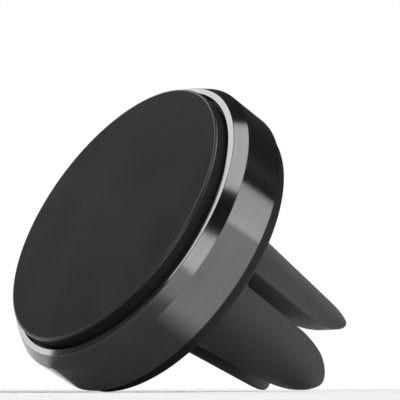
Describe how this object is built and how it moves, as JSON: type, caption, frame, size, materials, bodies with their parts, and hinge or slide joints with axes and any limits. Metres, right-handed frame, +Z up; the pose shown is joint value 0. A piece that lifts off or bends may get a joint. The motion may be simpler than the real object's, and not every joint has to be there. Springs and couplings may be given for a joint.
{
  "type": "car phone mount",
  "caption": "Round magnetic phone mount with a metal bezel and a matte face pad, on a swivelling four-pronged silicone clip for an air vent blade.",
  "frame": {"origin": "on the surface the mount stands on, under the middle of its bounding box", "axes": "+Z up; the phone face looks towards -Y and up, the prongs point towards +Y and down; x = 0 is the mirror plane"},
  "size_m": [0.04, 0.0418, 0.0377],
  "materials": {
    "pad_rubber": "matte, very fine grain",
    "adhesive": "double-sided tape",
    "bezel_metal": "turned and anodised dark grey, polished front facet",
    "black_plastic": "satin moulded",
    "magnet_plating": "nickel plated",
    "plain_steel": "zinc plated",
    "screw_steel": "black zinc plated",
    "clip_silicone": "soft matte silicone"
  },
  "bodies": {
    "head": {"face_pad": "pad_rubber", "pad_adhesive": "adhesive", "bezel_ring": "bezel_metal", "magnet_carrier": "black_plastic", "magnet_1": "magnet_plating", "magnet_2": "magnet_plating", "magnet_3": "magnet_plating", "magnet_4": "magnet_plating", "yoke_plate": "plain_steel", "rear_cover": "black_plastic", "cover_screws": "screw_steel"},
    "clip": {"swivel_post": "black_plastic", "swivel_screw": "screw_steel", "flat_washer": "plain_steel", "spring_washer": "plain_steel", "clip_base": "clip_silicone"},
    "prong_upper_right": {"prong_upper_right": "clip_silicone"},
    "prong_upper_left": {"prong_upper_left": "clip_silicone"},
    "prong_lower_left": {"prong_lower_left": "clip_silicone"},
    "prong_lower_right": {"prong_lower_right": "clip_silicone"}
  },
  "joints": [
    {"name": "clip_swivel", "type": "hinge", "parent": "head", "child": "clip", "pos_m": [0, -0.00334, 0.01673], "axis": [0, 0.8779, -0.4789], "continuous": true},
    {"name": "flex_upper_right", "type": "hinge", "parent": "clip", "child": "prong_upper_right", "pos_m": [0.0042, 0.00366, 0.01713], "axis": [0.6606, -0.3595, -0.659], "range_deg": [-2.5, 8], "stiffness_Nm_per_rad": 0.1},
    {"name": "flex_upper_left", "type": "hinge", "parent": "clip", "child": "prong_upper_left", "pos_m": [-0.0042, 0.00366, 0.01713], "axis": [0.6606, 0.3595, 0.659], "range_deg": [-2.5, 8], "stiffness_Nm_per_rad": 0.1},
    {"name": "flex_lower_left", "type": "hinge", "parent": "clip", "child": "prong_lower_left", "pos_m": [-0.0042, 0.00011, 0.01063], "axis": [-0.6606, 0.3595, 0.659], "range_deg": [-2.5, 8], "stiffness_Nm_per_rad": 0.1},
    {"name": "flex_lower_right", "type": "hinge", "parent": "clip", "child": "prong_lower_right", "pos_m": [0.0042, 0.00011, 0.01063], "axis": [-0.6606, -0.3595, -0.659], "range_deg": [-2.5, 8], "stiffness_Nm_per_rad": 0.1}
  ]
}
